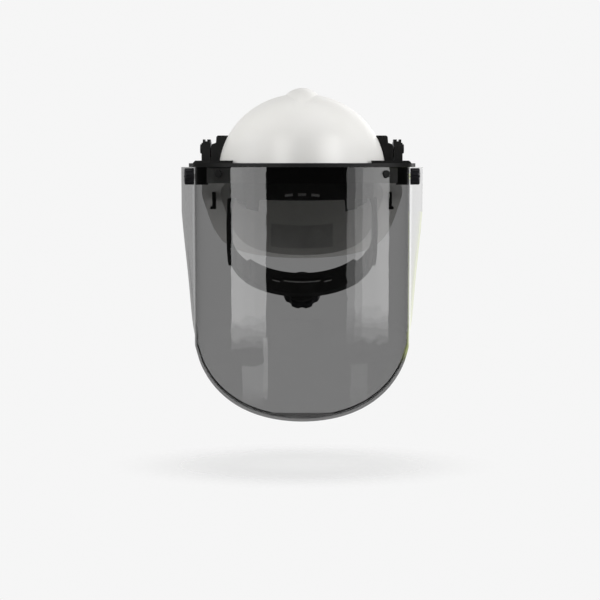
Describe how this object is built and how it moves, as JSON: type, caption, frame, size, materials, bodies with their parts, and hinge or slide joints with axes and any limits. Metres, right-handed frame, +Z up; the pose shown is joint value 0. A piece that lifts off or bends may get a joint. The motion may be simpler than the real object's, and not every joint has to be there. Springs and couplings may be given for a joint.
{
  "type": "hard hat with hinged face shield",
  "caption": "White hard hat with a crown ridge, ratchet suspension and a black carrier that swings a grey tinted face shield up over the dome.",
  "frame": {"origin": "where a head carries the hat: on the centre plane, level with the side rim of the shell", "axes": "+Z up with the visor hanging vertical, -Y towards the front of the face shield, +X towards the wearer's left"},
  "size_m": [0.2854, 0.3152, 0.3649],
  "materials": {
    "shell_white": "smooth glossy moulded polyethylene",
    "guard_plastic": "fine satin black nylon",
    "band_plastic": "black polyethylene, slightly waxy",
    "knob_plastic": "black with a cool cast, fine texture",
    "visor_grey": "polished neutral grey tinted polycarbonate",
    "edge_grey": "darker polished strip",
    "brow_fabric": "black knitted terry over foam",
    "webbing": "woven nylon webbing",
    "label": "blank printed film",
    "steel": "zinc plated"
  },
  "bodies": {
    "hat": {"shell": "shell_white", "rear_label": "label", "crown_strap_a": "webbing", "crown_strap_b": "webbing", "suspension_keys": "band_plastic", "headband_hangers": "band_plastic", "headband": "band_plastic", "brow_pad": "brow_fabric", "ratchet_housing": "band_plastic", "ratchet_cover": "band_plastic", "detent_spring": "steel", "left_slot_adapter": "guard_plastic", "right_slot_adapter": "guard_plastic", "left_pivot_pin": "knob_plastic", "right_pivot_pin": "knob_plastic", "left_friction_washer": "steel", "right_friction_washer": "steel"},
    "visor_carrier": {"crown_guard": "guard_plastic", "left_pivot_upright": "guard_plastic", "right_pivot_upright": "guard_plastic", "upright_screws": "steel", "visor": "visor_grey", "visor_edge_strip": "edge_grey", "visor_rivets": "knob_plastic", "left_clamp_block": "guard_plastic", "right_clamp_block": "guard_plastic", "left_clamp_stud": "steel", "right_clamp_stud": "steel"},
    "left_visor_knob": {"left_visor_knob": "knob_plastic"},
    "right_visor_knob": {"right_visor_knob": "knob_plastic"},
    "ratchet_knob": {"ratchet_knob": "knob_plastic", "ratchet_pinion": "band_plastic", "ratchet_screw": "steel"},
    "left_band_tail": {"left_band_tail": "band_plastic"},
    "right_band_tail": {"right_band_tail": "band_plastic"}
  },
  "joints": [
    {"name": "visor_pivot", "type": "hinge", "parent": "hat", "child": "visor_carrier", "pos_m": [0, 0, 0.055], "axis": [-1, 0, 0], "range_deg": [0, 80]},
    {"name": "left_clamp_turn", "type": "hinge", "parent": "visor_carrier", "child": "left_visor_knob", "pos_m": [0.12061, -0.092, 0.0233], "axis": [0.9887, -0.1497, 0], "continuous": true},
    {"name": "right_clamp_turn", "type": "hinge", "parent": "visor_carrier", "child": "right_visor_knob", "pos_m": [-0.12061, -0.092, 0.0233], "axis": [-0.9887, -0.1497, 0], "continuous": true},
    {"name": "ratchet_turn", "type": "hinge", "parent": "hat", "child": "ratchet_knob", "pos_m": [0, 0.07881, -0.11652], "axis": [0, 0.809, -0.5878], "range_deg": [-150, 150]},
    {"name": "left_tail_slide", "type": "hinge", "parent": "hat", "child": "left_band_tail", "pos_m": [0, 0.00762, -0.0648], "axis": [0, 0.5878, 0.809], "range_deg": [-10.5, 10.5]},
    {"name": "right_tail_slide", "type": "hinge", "parent": "hat", "child": "right_band_tail", "pos_m": [0, 0.00762, -0.0648], "axis": [0, 0.5878, 0.809], "range_deg": [-10.5, 10.5]}
  ],
  "couplings": [
    {"joint": "left_tail_slide", "follows": "ratchet_turn", "ratio": -0.068069},
    {"joint": "right_tail_slide", "follows": "ratchet_turn", "ratio": 0.066748}
  ]
}
